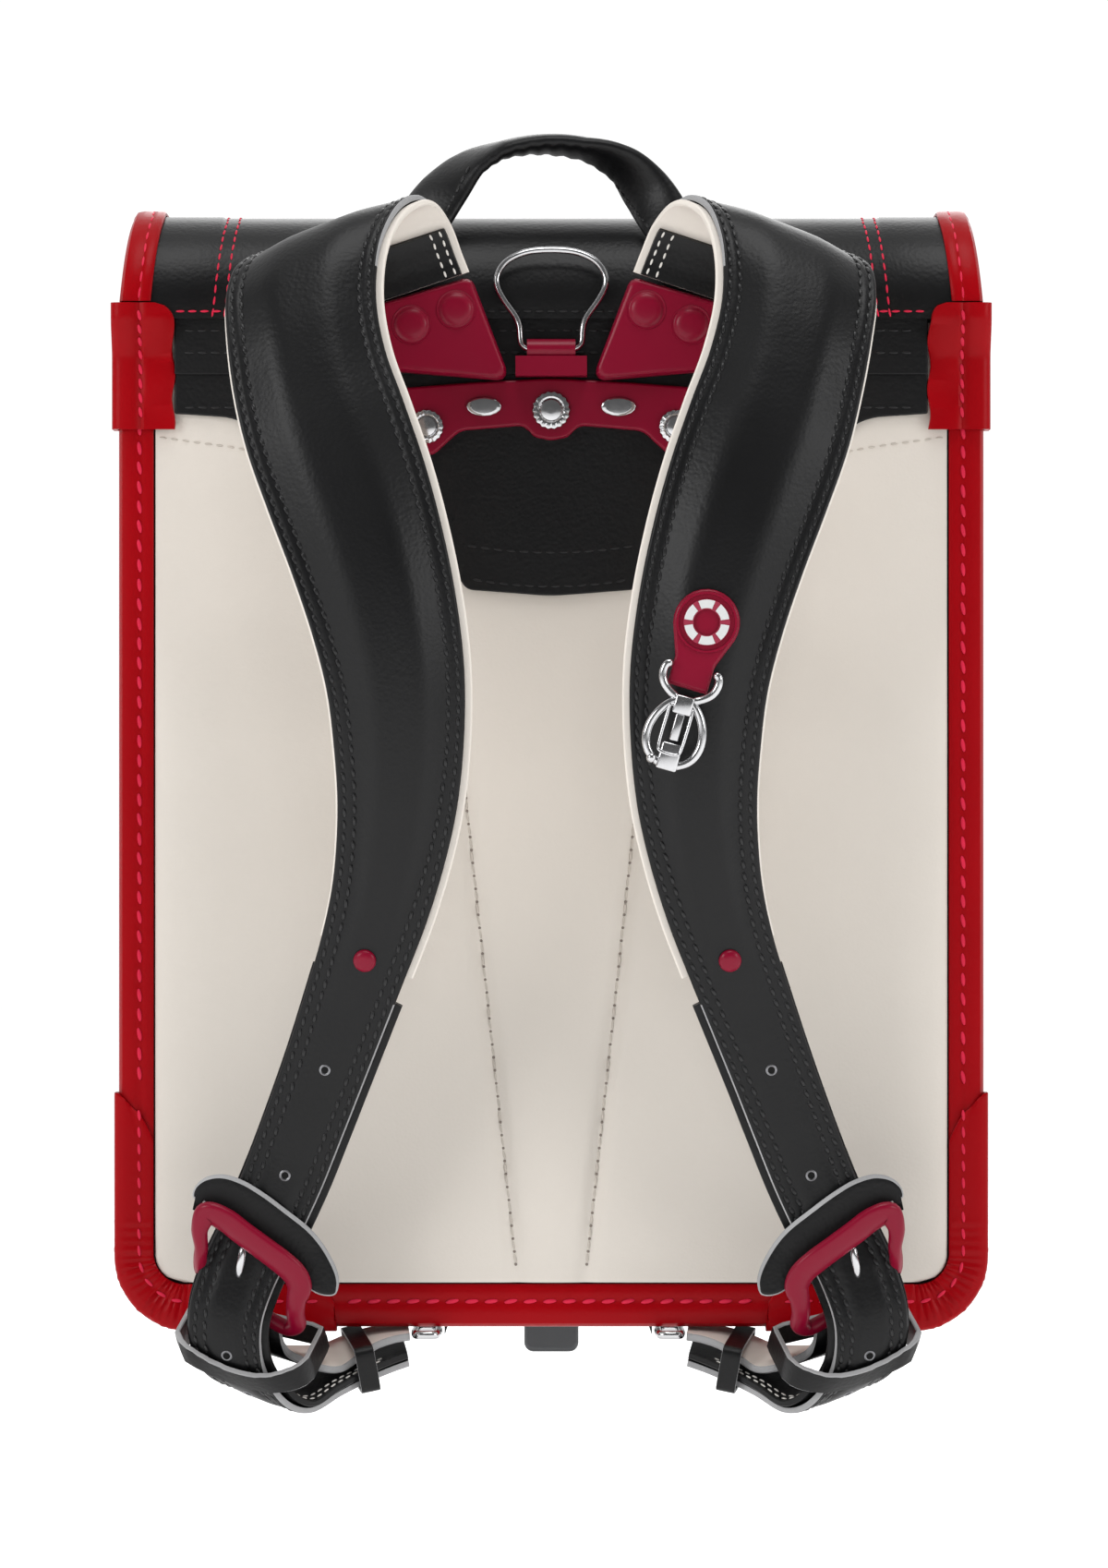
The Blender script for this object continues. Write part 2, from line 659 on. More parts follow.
cream_thread = leather("cream_thread", (0.50, 0.455, 0.405), 0.7, 0.0004, 0.00004, 0.15)
hole_dark = leather("seam_hole", (0.21, 0.18, 0.155), 0.9, 0.0008, 0.00002, 0.1)
pad_sewn = []
for side in (-1, 1):
    path = []
    for step in range(panel_seam_steps + 1):
        down = panel_from + step / panel_seam_steps * (panel_to - panel_from)
        z = pad_top + (pad_bottom - pad_top) * down
        x = side * panel_half(down)
        path.append((Vector((x, -clearance - pad_rise(x, down, pad_half) - 0.0004, z)), forward))
    pad_sewn += stitch_places(path, 0.004)
sewn("pad_stitches", pad_sewn, 0.0028, 0.0008, cream_thread, slant=0.1)
holes = [(spot + along * 0.002, along, out) for spot, along, out in pad_sewn]
sewn("pad_holes", holes, 0.0009, 0.0009, hole_dark)
edge_dots = []
for side in (-1, 1):
    path = [
        (Vector((side * x, -clearance - 0.0011, z)), forward)
        for x, z in ((0.1210, -0.0879), (0.0975, -0.0911), (0.060, -0.0990))
    ]
    edge_dots += stitch_places(path, 0.0035)
sewn("pad_edge_stitches", edge_dots, 0.0022, 0.0007, cream_thread)


# The yoke: a black piece with a rounded patch in the middle that covers the top of the pad, and a
# band over its upper edge. Both are sewn down with black thread.
yoke_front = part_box("yoke")[0].y
band_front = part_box("upper_band")[0].y
dressed("yoke", [black_leather], 0.0005)
dressed("upper_band", [black_leather], 0.0004)
yoke_rows = []
for height, half in ((-0.0554, 0.113), (-0.0622, 0.113)):
    yoke_rows.append([(Vector((x, band_front - 0.0001, height)), forward) for x in (-half, half)])
yoke_rows.append([(Vector((x, yoke_front - 0.0001, -0.0789)), forward) for x in (-0.113, 0.113)])
for height, half in ((-0.1212, 0.0262), (-0.1316, 0.0245)):
    patch_row = []
    for step in range(21):
        share = step / 10 - 1
        sag = 0.0022 * (1 - share**2)
        patch_row.append((Vector((half * share, yoke_front - 0.0001, height - sag)), forward))
    yoke_rows.append(patch_row)
yoke_sewn = []
for row in yoke_rows:
    yoke_sewn += stitch_places(row, 0.0040)
sewn("yoke_stitches", yoke_sewn, 0.0029, 0.0008, black_thread)


# The bracket: satin maroon plastic mouldings, with nickel-plated rivets. The base plate has plain
# oval studs on its wings, the root brackets clasp the strap ends under two round covers each. The
# lock's grey metal plate hangs below the bottom of the bag, longer here than its solid.
plastic_maroon = (0.20, 0.0008, 0.018)
rivet_flutes = 18
turned_around = 72
rightward = Vector((1, 0, 0))


def moulding(name, colour, roughness):
    """Moulded plastic with a faint satin texture and a thin clear skin."""
    look = bpy.data.materials.new(name)
    look.use_nodes = True
    nodes, links = look.node_tree.nodes, look.node_tree.links
    shader = nodes["Principled BSDF"]
    shader.inputs["Base Color"].default_value = (*colour, 1)
    shader.inputs["Specular IOR Level"].default_value = 0.16
    shader.inputs["Coat Weight"].default_value = 0.13
    shader.inputs["Coat Roughness"].default_value = 0.2
    place = nodes.new("ShaderNodeTexCoord")
    speckle = nodes.new("ShaderNodeTexNoise")
    speckle.inputs["Scale"].default_value = 2600
    speckle.inputs["Detail"].default_value = 2
    flow = nodes.new("ShaderNodeTexNoise")
    flow.inputs["Scale"].default_value = 60
    links.new(place.outputs["Object"], speckle.inputs["Vector"])
    links.new(place.outputs["Object"], flow.inputs["Vector"])
    bump = nodes.new("ShaderNodeBump")
    bump.inputs["Strength"].default_value = 0.35
    bump.inputs["Distance"].default_value = 0.00003
    links.new(speckle.outputs["Fac"], bump.inputs["Height"])
    links.new(bump.outputs["Normal"], shader.inputs["Normal"])
    polish = nodes.new("ShaderNodeMapRange")
    polish.inputs["To Min"].default_value = roughness - 0.06
    polish.inputs["To Max"].default_value = roughness + 0.08
    links.new(flow.outputs["Fac"], polish.inputs["Value"])
    links.new(polish.outputs["Result"], shader.inputs["Roughness"])
    return look


def metal(name, colour, roughness):
    """Plated or painted metal with fine polishing marks."""
    look = bpy.data.materials.new(name)
    look.use_nodes = True
    nodes, links = look.node_tree.nodes, look.node_tree.links
    shader = nodes["Principled BSDF"]
    shader.inputs["Base Color"].default_value = (*colour, 1)
    shader.inputs["Metallic"].default_value = 1.0
    place = nodes.new("ShaderNodeTexCoord")
    marks = nodes.new("ShaderNodeTexNoise")
    marks.inputs["Scale"].default_value = 900
    marks.inputs["Detail"].default_value = 4
    links.new(place.outputs["Object"], marks.inputs["Vector"])
    polish = nodes.new("ShaderNodeMapRange")
    polish.inputs["To Min"].default_value = roughness * 0.7
    polish.inputs["To Max"].default_value = roughness * 1.4
    links.new(marks.outputs["Fac"], polish.inputs["Value"])
    links.new(polish.outputs["Result"], shader.inputs["Roughness"])
    return look


maroon = moulding("maroon_plastic", plastic_maroon, 0.36)
steel = metal("steel", (0.55, 0.55, 0.56), 0.16)
grey_metal = metal("grey_metal", (0.22, 0.22, 0.23), 0.35)
for part in ("base_plate", "root_bracket_left", "root_bracket_right", "ring_bracket"):
    dressed(part, [maroon], 0.0009)
for part in ("inlay_left", "inlay_right"):
    dressed(part, [steel], 0.0004)
lock_plate_drop = 0.010
lock_grey = metal("lock_grey", (0.085, 0.087, 0.09), 0.35)
dressed("lock_plate", [lock_grey], 0.0014, drop=lock_plate_drop)


def turned(middle, face, side, profile, flutes=0, depth=0.0):
    """Rings of a turned piece on a face. A profile row is a radius, a height and a share of the flutes."""
    other = face.cross(side)
    rings = []
    for radius, height, fluted in profile:
        ring = []
        for step in range(turned_around):
            angle = step / turned_around * math.tau
            reach = radius * (1 + fluted * depth * (0.5 + 0.5 * math.cos(flutes * angle)))
            ring.append(
                middle + side * math.cos(angle) * reach + other * math.sin(angle) * reach + face * height
            )
        rings.append(ring)
    return rings


for part in ("centre_rivet", "side_rivet_left", "side_rivet_right"):
    box_low, box_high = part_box(part)
    radius = (box_high.x - box_low.x) / 2
    middle = Vector(((box_low.x + box_high.x) / 2, box_high.y, (box_low.z + box_high.z) / 2))
    rise = box_high.y - box_low.y
    profile = [
        (radius, 0, 0), (radius, rise * 0.2, 0.3), (radius * 0.94, rise * 0.45, 1),
        (radius * 0.74, rise * 0.6, 1), (radius * 0.66, rise * 0.5, 0), (radius * 0.62, rise * 0.6, 0),
        (radius * 0.55, rise * 0.85, 0), (radius * 0.38, rise * 0.97, 0), (radius * 0.15, rise, 0),
    ]
    rings = turned(middle, forward, rightward, profile, rivet_flutes, 0.07)
    placed(f"{part}_head", swept(rings), [steel], [part])

cover_radius = 0.0052
cover_rise = 0.0014
cover_seat = 0.0108
bracket_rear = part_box("root_bracket_left")[1].y
for side, name in ((-1, "left"), (1, "right")):
    for number, (x, z) in enumerate(((0.0290, -0.0500), (0.0426, -0.0546))):
        middle = Vector((side * x, bracket_rear - cover_seat, z))
        profile = [
            (cover_radius + 0.0009, -0.0002, 0), (cover_radius + 0.0007, 0.0003, 0),
            (cover_radius + 0.0003, 0.0002, 0), (cover_radius, 0.0002, 0),
            (cover_radius - 0.0003, 0.0006, 0), (cover_radius * 0.8, cover_rise * 0.85, 0),
            (cover_radius * 0.5, cover_rise, 0), (cover_radius * 0.2, cover_rise * 1.05, 0),
        ]
        rings = turned(middle, forward, rightward, profile)
        placed(f"bracket_cover_{name}_{number}", swept(rings), [maroon], crease=60)


# The hanging ring: round nickel-plated wire, sprung into the barrel of its knuckle. It turns on the
# barrel, so it rides on a body of its own.
def softened(node, look, swell, body="bag", rise=0.0):
    """A rounded piece: its solid's quads, swollen a little, drawn up by a rise and subdivided smooth."""
    mesh = solid_copy(node)
    bmesh.ops.join_triangles(
        mesh, faces=mesh.faces, angle_face_threshold=math.radians(40),
        angle_shape_threshold=math.radians(60), cmp_seam=False,
        cmp_sharp=False, cmp_uvs=False, cmp_vcols=False, cmp_materials=False,
    )
    mesh.normal_update()
    shifts = [(corner, corner.normal * swell) for corner in mesh.verts]
    for corner, shift in shifts:
        corner.co += shift
    bottom, top = (extreme(corner.co.z for corner in mesh.verts) for extreme in (min, max))
    for corner in mesh.verts:
        corner.co.z += rise * (corner.co.z - bottom) / (top - bottom)
    piece = placed(f"{node}_soft", mesh, [look], [node], body, crease=180)
    rounding = piece.modifiers.new("rounding", "SUBSURF")
    rounding.levels = rounding.render_levels = 2
    return piece


softened("hanging_ring", steel, 0.00012, body="hanging_ring_body")


# The carry handle: a padded arch of black leather, its two layers sewn together along the edges.
# Its inner edge is gathered under the crown, where the hand goes.
handle_span = 0.044
handle_rise = 0.0428
handle_middle = -0.002
handle_crown = 0.0029
handle_rows = [
    # across, drop, out, width, thickness, twist
    (1.00, 1.000, 0.0099, 0.0146, 0.0042, 0.00),
    (0.94, 0.760, 0.0082, 0.0148, 0.0044, 0.02),
    (0.83, 0.540, 0.0030, 0.0156, 0.0050, 0.12),
    (0.70, 0.335, -0.0020, 0.0170, 0.0056, 0.40),
    (0.53, 0.150, -0.0050, 0.0190, 0.0058, 0.72),
    (0.29, 0.040, -0.0064, 0.0210, 0.0058, 0.94),
    (0.00, 0.000, -0.0070, 0.0220, 0.0058, 1.00),
]
handle_rows += [(-row[0], *row[1:5], 2 - row[5]) for row in reversed(handle_rows[:-1])]
handle_points = [
    Vector((handle_middle - row[0] * handle_span, -row[2], handle_crown - row[1] * handle_rise))
    for row in handle_rows
]
handle_steps = 132
handle_around = 28
handle_gather_reach = 0.17
handle_gather_lift = 0.0003
handle_seam_from = 0.03
handle_seam_to = 0.33


def smooth_point(points, share):
    """A point at a share of the way along a smooth curve through the points."""
    at = (len(points) - 1) * share
    low = min(int(at), len(points) - 2)
    part = at - low
    ends = [2 * points[0] - points[1], *points, 2 * points[-1] - points[-2]]
    before, start, stop, after = ends[low : low + 4]
    spans = [max(1e-4, (b - a).length) ** 0.5 for a, b in ((before, start), (start, stop), (stop, after))]
    first = (
        (start - before) / spans[0] - (stop - before) / (spans[0] + spans[1]) + (stop - start) / spans[1]
    ) * spans[1]
    last = (
        (stop - start) / spans[1] - (after - start) / (spans[1] + spans[2]) + (after - stop) / spans[2]
    ) * spans[1]
    square = 3 * (stop - start) - 2 * first - last
    cube = 2 * (start - stop) + first + last
    return start + first * part + square * part**2 + cube * part**3


rings = []
handle_seams = ([], [])
for step in range(handle_steps + 1):
    share = step / handle_steps
    point = smooth_point(handle_points, share)
    nearby = [smooth_point(handle_points, min(1, max(0, share + shift))) for shift in (-0.004, 0.004)]
    along = (nearby[1] - nearby[0]).normalized()
    deep = (Vector((0, 1, 0)) - along * along.y).normalized()
    radial = along.cross(deep)
    row = (len(handle_rows) - 1) * share
    low = min(int(row), len(handle_rows) - 2)
    here, there, part = handle_rows[low], handle_rows[low + 1], row - low
    width, thickness, twist = (here[column] + (there[column] - here[column]) * part for column in (3, 4, 5))
    wide = radial * math.cos(twist * math.pi / 2) + deep * math.sin(twist * math.pi / 2)
    thin = along.cross(wide)
    packed = max(0, 1 - abs(share - 0.5) / handle_gather_reach)
    upward = 1 if radial.z > 0 else -1
    ring = []
    for number in range(handle_around):
        angle = number / handle_around * math.tau
        across, lift = math.cos(angle), math.sin(angle)
        across = math.copysign(abs(across) ** 0.7, across)
        lift = math.copysign(abs(lift) ** 0.8, lift)
        spot = point + wide * across * width * 0.52 + thin * lift * thickness * 0.5
        if (spot - point).dot(radial) * upward < 0:
            spot += radial * upward * handle_gather_lift * packed**0.5 * math.sin(share * 190)
        ring.append(spot)
    rings.append(ring)
    if handle_seam_from < min(share, 1 - share) < handle_seam_to:
        inner_way = wide if wide.dot(radial) * radial.z < 0 else -wide
        front_way = thin if thin.y < 0 else -thin
        spot = point + inner_way * width * 0.36 + front_way * (thickness * 0.42 + 0.0001)
        handle_seams[share > 0.5].append((spot, front_way))
handle_piece = placed(
    "handle_cover", swept(rings), [black_leather], ["handle"], crease=180
)
handle_sewn = stitch_places(handle_seams[0], 0.0034) + stitch_places(handle_seams[1], 0.0034)
sewn("handle_stitches", handle_sewn, 0.0025, 0.0009, black_thread, slant=0.1)


# The shoulder straps: a padded black face, sewn twice along each edge, over a cream lining. Each
# rises in a loop from its root bracket, stands away from the back and narrows into the belt.
# Across is a share of half the back's width, down a share of the body's height, out of the reach.
body_top = -0.0184
body_height = 0.343
strap_reach = 0.070
strap_wall = 0.0022
strap_puff = 0.0044
strap_inset = 0.0022
strap_outer_inset = 0.0006
lining_wall = 0.002
right_lean = 0.0023
lining_last_row = 17
backing_first_row = 17.5
hole_rows = (19, 21, 25, 26.5)
belt_middle = 0.52
strap_rows = [
    # inner across, down, out, outer across, down, out, puff, lean
    (0.188, 0.058, 0.222, 0.425, 0.089, 0.222, 0.05, 0.0),
    (0.205, 0.041, 0.226, 0.475, 0.074, 0.226, 0.05, 0.0),
    (0.232, 0.014, 0.262, 0.555, 0.055, 0.262, 0.1, -0.2),
    (0.272, -0.004, 0.390, 0.650, 0.051, 0.390, 0.2, -0.6),
    (0.325, 0.006, 0.560, 0.715, 0.064, 0.560, 0.4, -0.6),
    (0.366, 0.038, 0.680, 0.736, 0.090, 0.680, 0.6, 0.0),
    (0.378, 0.085, 0.770, 0.732, 0.128, 0.770, 0.8, 0.5),
    (0.358, 0.132, 0.840, 0.715, 0.176, 0.840, 1.0, 0.9),
    (0.314, 0.180, 0.910, 0.684, 0.226, 0.910, 1.0, 1.0),
    (0.268, 0.232, 0.960, 0.634, 0.280, 0.960, 1.0, 1.0),
    (0.230, 0.286, 0.990, 0.582, 0.333, 0.990, 1.0, 1.0),
    (0.198, 0.346, 1.000, 0.537, 0.385, 1.000, 1.0, 1.0),
    (0.178, 0.410, 0.985, 0.505, 0.434, 0.985, 1.0, 1.0),
    (0.178, 0.472, 0.950, 0.490, 0.482, 0.950, 1.0, 1.0),
    (0.194, 0.534, 0.900, 0.483, 0.526, 0.900, 1.0, 1.0),
    (0.224, 0.586, 0.845, 0.486, 0.565, 0.845, 0.9, 1.0),
    (0.264, 0.636, 0.785, 0.497, 0.604, 0.785, 0.6, 1.0),
    (0.312, 0.684, 0.725, 0.521, 0.646, 0.725, 0.3, 1.0),
    (0.362, 0.733, 0.665, 0.558, 0.694, 0.665, 0.12, 0.9),
    (0.412, 0.782, 0.610, 0.600, 0.745, 0.610, 0.1, 0.8),
    (0.460, 0.829, 0.565, 0.644, 0.793, 0.565, 0.1, 0.8),
    (0.508, 0.875, 0.525, 0.690, 0.840, 0.525, 0.1, 0.8),
    (0.566, 0.923, 0.515, 0.746, 0.891, 0.515, 0.1, 0.8),
    (0.614, 0.960, 0.530, 0.797, 0.934, 0.530, 0.1, 0.8),
    (0.640, 0.992, 0.545, 0.824, 0.972, 0.540, 0.1, 0.8),
    (0.636, 1.022, 0.540, 0.822, 1.006, 0.500, 0.1, 0.8),
    (0.610, 1.046, 0.510, 0.792, 1.028, 0.400, 0.1, 0.8),
    (0.574, 1.062, 0.460, 0.735, 1.042, 0.240, 0.1, 0.8),
    (0.536, 1.066, 0.400, 0.650, 1.048, 0.075, 0.1, 0.8),
    (0.478, 1.053, 0.310, 0.540, 1.037, -0.050, 0.1, 0.8),
    (0.420, 1.042, 0.220, 0.453, 1.031, -0.145, 0.1, 0.8),
    (0.368, 1.034, 0.150, 0.388, 1.026, -0.220, 0.1, 0.8),
    (0.328, 1.029, 0.100, 0.342, 1.023, -0.270, 0.1, 0.8),
]


steps_per_row = 8


def ribbon_stations(rows, side):
    """Places along a strap: row, inner edge, the ways across and out, width and padding."""
    lean = right_lean if side > 0 else 0.0
    edges = [
        [
            Vector((
                side * (back_half * row[first] - lean * row[7]),
                -strap_reach * row[first + 2],
                body_top - body_height * row[first + 1],
            ))
            for row in rows
        ]
        for first in (0, 3)
    ]
    count = (len(rows) - 1) * steps_per_row
    pairs = [[smooth_point(edge, step / count) for edge in edges] for step in range(count + 1)]
    found = []
    for step, (inner, outer) in enumerate(pairs):
        before, after = pairs[max(0, step - 1)], pairs[min(count, step + 1)]
        along = (sum(after, Vector()) - sum(before, Vector())).normalized()
        across = outer - inner
        width = across.length
        across.normalize()
        out = (along.cross(across) if side > 0 else across.cross(along)).normalized()
        row = step / steps_per_row
        low = min(int(row), len(rows) - 2)
        puff = rows[low][6] + (rows[low + 1][6] - rows[low][6]) * (row - low)
        found.append(
            {"row": row, "inner": inner, "across": across, "out": out, "width": width, "puff": puff}
        )
    return found


def on_ribbon(station, across, out):
    """The point at a distance across a strap from its inner edge and out from its middle surface."""
    return station["inner"] + station["across"] * across + station["out"] * out


face_row_insets = (0.0021, 0.0051)


def face_rise(near, half, crown):
    """How far the face stands out at a distance from its nearer edge."""
    rise = crown * math.sin(eased(near, 0.0050, max(0.0072, half * 0.82)) * math.pi / 2) ** 0.9
    for inset in face_row_insets:
        rise -= 0.0004 * math.exp(-(((near - inset) / 0.0007) ** 2))
    return rise - 0.0007 * max(0, 1 - near / 0.0008) ** 2


face_steps = (0.0, 0.0004, 0.0009, 0.0015, 0.0021, 0.0027, 0.0036, 0.0045, 0.0051, 0.0057, 0.0070)
cut_edge = leather("cut_edge", (0.33, 0.33, 0.335), 0.8, 0.0007, 0.00014, 0.4, 0.2)
cream_lining = leather("cream_lining", (0.74, 0.69, 0.63), 0.6, 0.0012, 0.00004, 0.05)
loop_last_row = 5.5


def edge_paint(row, column):
    """Grey paint on the face's inner edge where it is bare: round the loop and along the belt."""
    bare = row >= backing_first_row * steps_per_row or row < loop_last_row * steps_per_row
    return 1 if bare and column in (0, 1) else 0


strap_sets = {}
for side, name in ((-1, "left"), (1, "right")):
    stations = ribbon_stations(strap_rows, side)
    strap_sets[side] = stations
    rings = []
    for station in stations:
        left, right = strap_inset, station["width"] - strap_outer_inset
        half = (right - left) / 2
        crown = strap_puff * station["puff"]
        spread = [0.28, 0.45, 0.62, 0.8]
        nears = list(face_steps) + [0.0070 + (half - 0.0070) * share for share in spread]
        top = [(left + near, strap_wall + face_rise(near, half, crown)) for near in nears]
        top.append((left + half, strap_wall + crown))
        top += [(right - near, strap_wall + face_rise(near, half, crown)) for near in reversed(nears)]
        section = [(left, 0.0002)] + top + [(right, 0.0002), (right - 0.0002, 0.0), (left + 0.0002, 0.0)]
        rings.append([on_ribbon(station, across, out) for across, out in section])
    looks = [black_leather, cut_edge]
    face = placed(
        f"strap_face_{name}", swept(rings, paint=edge_paint), looks, [f"strap_{name}"]
    )

    lining = [station for station in stations if station["row"] <= lining_last_row]
    rings = []
    for station in lining:
        width = station["width"]
        low, high = -clearance - lining_wall, -clearance
        section = [
            (0.0005, high), (width - 0.0005, high), (width, high - 0.0005), (width, low + 0.0005),
            (width - 0.0005, low)
        ]
        section += [(0.0005, low), (0.0, low + 0.0005), (0.0, high - 0.0005)]
        rings.append([on_ribbon(station, across, out) for across, out in section])
    placed(f"lining_{name}", swept(rings), [cream_lining], [f"strap_lining_{name}"])

    rings = []
    for station in [station for station in stations if station["row"] >= backing_first_row]:
        width = station["width"]
        slack = 0.0005 * eased(station["row"], 25, 26)
        low, high = -clearance - lining_wall - slack, -clearance - slack
        section = [
            (0.0003, high), (width - 0.0003, high), (width, high - 0.0003), (width, low + 0.0003),
            (width - 0.0003, low)
        ]
        section += [(0.0003, low), (0.0, low + 0.0003), (0.0, high - 0.0003)]
        rings.append([on_ribbon(station, across, out) for across, out in section])
    placed(f"backing_{name}", swept(rings), [black_leather], [f"belt_backing_{name}"])

    face_sewn = []
    for inset in face_row_insets:
        for from_outer in (False, True):
            path = []
            for station in stations[6:-3]:
                left, right = strap_inset, station["width"] - strap_outer_inset
                across = right - inset if from_outer else left + inset
                lift = strap_wall + face_rise(inset, 0.02, 0) + 0.0001
                path.append((on_ribbon(station, across, lift), station["out"]))
            face_sewn += stitch_places(path, 0.0037)
    sewn(f"strap_stitches_{name}", face_sewn, 0.0029, 0.0013, black_thread, slant=0.16)


# The root straps: short black pieces with white stitching that line each strap's root inside the loop.
# The same white stitching runs in two rows along the inner face of each belt's end.
white_thread = leather("white_thread", (0.72, 0.70, 0.66), 0.7, 0.0004, 0.00004, 0.1)
root_wall = 0.0014
root_inset = 0.0026
root_steps = 17
belt_end_from = 214
belt_end_to = 246
root_face = -2 * clearance - lining_wall - root_wall - 0.0001
for side, name in ((-1, "left"), (1, "right")):
    rings = []
    for station in strap_sets[side][:root_steps]:
        width = station["width"]
        high = -2 * clearance - lining_wall
        low = high - root_wall
        section = [
            (root_inset, high), (width - root_inset, high), (width - root_inset + 0.0003, high - 0.0003)
        ]
        section += [(width - root_inset, low), (root_inset, low), (root_inset - 0.0003, high - 0.0003)]
        rings.append([on_ribbon(station, across, out) for across, out in section])
    placed(f"root_band_{name}", swept(rings), [black_leather], [f"root_strap_{name}"])
    root_sewn = []
    for inset in (0.0016, 0.0046):
        path = []
        for station in strap_sets[side][:root_steps]:
            path.append((on_ribbon(station, root_inset + inset, root_face), -station["out"]))
        root_sewn += stitch_places(path, 0.003)
    sewn(f"root_stitches_{name}", root_sewn, 0.002, 0.0007, white_thread)
    end_sewn = []
    for inset in (0.0018, 0.0044):
        path = []
        for station in strap_sets[side][belt_end_from:belt_end_to]:
            path.append((on_ribbon(station, inset, -clearance - lining_wall - 0.0006), -station["out"]))
        end_sewn += stitch_places(path, 0.003)
    sewn(f"belt_end_stitches_{name}", end_sewn, 0.002, 0.0007, white_thread)


# The belts' holes, each with a pressed grey metal rim round a dark hole, and the maroon rivets set
# through the straps where the padding ends.
hole_shadow = leather("hole_shadow", (0.004, 0.004, 0.004), 0.9, 0.001, 0.00001, 0.1)


def belt_place(side, row, share, out):
    """A point on a belt at a row and a share of its width, with the ways out and across."""
    station = strap_sets[side][round(row * steps_per_row)]
    return on_ribbon(station, station["width"] * share, out), station["out"], station["across"]


belt_top = strap_wall + strap_puff * 0.1
for side, name in ((-1, "left"), (1, "right")):
    for number, row in enumerate(hole_rows):
        middle, out, across = belt_place(side, row, belt_middle, belt_top)
        rim = [
            (0.0018, -0.0003, 0), (0.0017, 0.0001, 0), (0.0014, 0.00022, 0), (0.0011, 0.0001, 0),
            (0.0010, -0.0003, 0),
        ]
        rings = list(map(list, zip(*turned(middle, out, across, rim))))
        placed(f"hole_rim_{name}_{number}", swept(rings, closed=True), [grey_metal])
        disc = [(0.00112, -0.0003, 0), (0.00112, 0.00005, 0), (0.0002, 0.00004, 0)]
        rings = turned(middle, out, across, disc)
        placed(f"hole_shadow_{name}_{number}", swept(rings), [hole_shadow])
    middle, out, across = belt_place(side, 17, 0.5, strap_wall + strap_puff * 0.3 + clearance)
    profile = [
        (0.0034, 0, 0), (0.0034, 0.0005, 0), (0.0031, 0.0010, 0), (0.0023, 0.0015, 0),
        (0.0012, 0.0017, 0), (0.0003, 0.00175, 0),
    ]
    rings = turned(middle, out, across, profile)
    placed(f"strap_rivet_head_{name}", swept(rings), [maroon], [f"strap_rivet_{name}"])


# The buckles: moulded maroon frames with a flat upper bar, a shoulder and a narrower leg, and a steel
# prong. Rows give the left frame's middle line, how far out it stands and half its width.
buckle_depth = 0.0019
buckle_rows = [
    # across, height, out, half width
    (-0.1053, -0.3337, 0.0435, 0.0020), (-0.1056, -0.3280, 0.0455, 0.0026),
    (-0.1032, -0.3235, 0.0466, 0.0039), (-0.0982, -0.3253, 0.0468, 0.0044),
    (-0.0929, -0.3293, 0.0468, 0.0045), (-0.0865, -0.3340, 0.0468, 0.0045),
    (-0.0813, -0.3379, 0.0466, 0.0046), (-0.0774, -0.3416, 0.0455, 0.0044),
    (-0.0758, -0.3456, 0.0435, 0.0039), (-0.0768, -0.3500, 0.0410, 0.0030),
    (-0.0772, -0.3542, 0.0375, 0.0028), (-0.0771, -0.3579, 0.0330, 0.0029),
    (-0.0797, -0.3593, 0.0300, 0.0025), (-0.0873, -0.3554, 0.0297, 0.0023),
    (-0.0948, -0.3509, 0.0298, 0.0023), (-0.1021, -0.3464, 0.0304, 0.0022),
    (-0.1055, -0.3416, 0.0345, 0.0021), (-0.1058, -0.3373, 0.0400, 0.0020),
]
buckle_steps = 120
buckle_around = 20


def round_trip(points, steps):
    """Points evenly along a smooth closed curve."""
    wrapped = points[-3:] + points + points[:3]
    spans = len(wrapped) - 1
    return [smooth_point(wrapped, (3 + step / steps * len(points)) / spans) for step in range(steps)]


for side, name in ((-1, "left"), (1, "right")):
    shift = right_lean * 0.8 if side > 0 else 0.0
    middles = [Vector((-side * row[0] - shift, -row[2], row[1])) for row in buckle_rows]
    halves = [Vector((row[3], 0, 0)) for row in buckle_rows]
    line, widths = round_trip(middles, buckle_steps), round_trip(halves, buckle_steps)
    plane = Vector()
    for step in range(buckle_steps):
        plane += line[step].cross(line[(step + 1) % buckle_steps])
    plane = plane.normalized() * (1 if plane.y < 0 else -1)
    rings = []
    for step in range(buckle_steps):
        along = (line[(step + 1) % buckle_steps] - line[step - 1]).normalized()
        in_plane = along.cross(plane).normalized()
        out = in_plane.cross(along).normalized()
        ring = []
        for number in range(buckle_around):
            angle = number / buckle_around * math.tau
            across = math.copysign(abs(math.cos(angle)) ** 0.62, math.cos(angle)) * widths[step].x
            lift = math.copysign(abs(math.sin(angle)) ** 0.75, math.sin(angle)) * buckle_depth
            if lift * out.dot(plane) > 0:
                lift *= 1.25 - 0.45 * abs(math.cos(angle))
            ring.append(line[step] + in_plane * across + out * lift)
        rings.append(ring)
    placed(
        f"buckle_frame_{name}", swept(rings, closed=True), [maroon], [f"buckle_{name}"],
        crease=180
    )
    softened(f"prong_{name}", steel, 0.0003, rise=0.0045)
    softened(f"anchor_ring_{name}", steel, 0.00015)
    dressed(f"anchor_{name}", [black_leather])


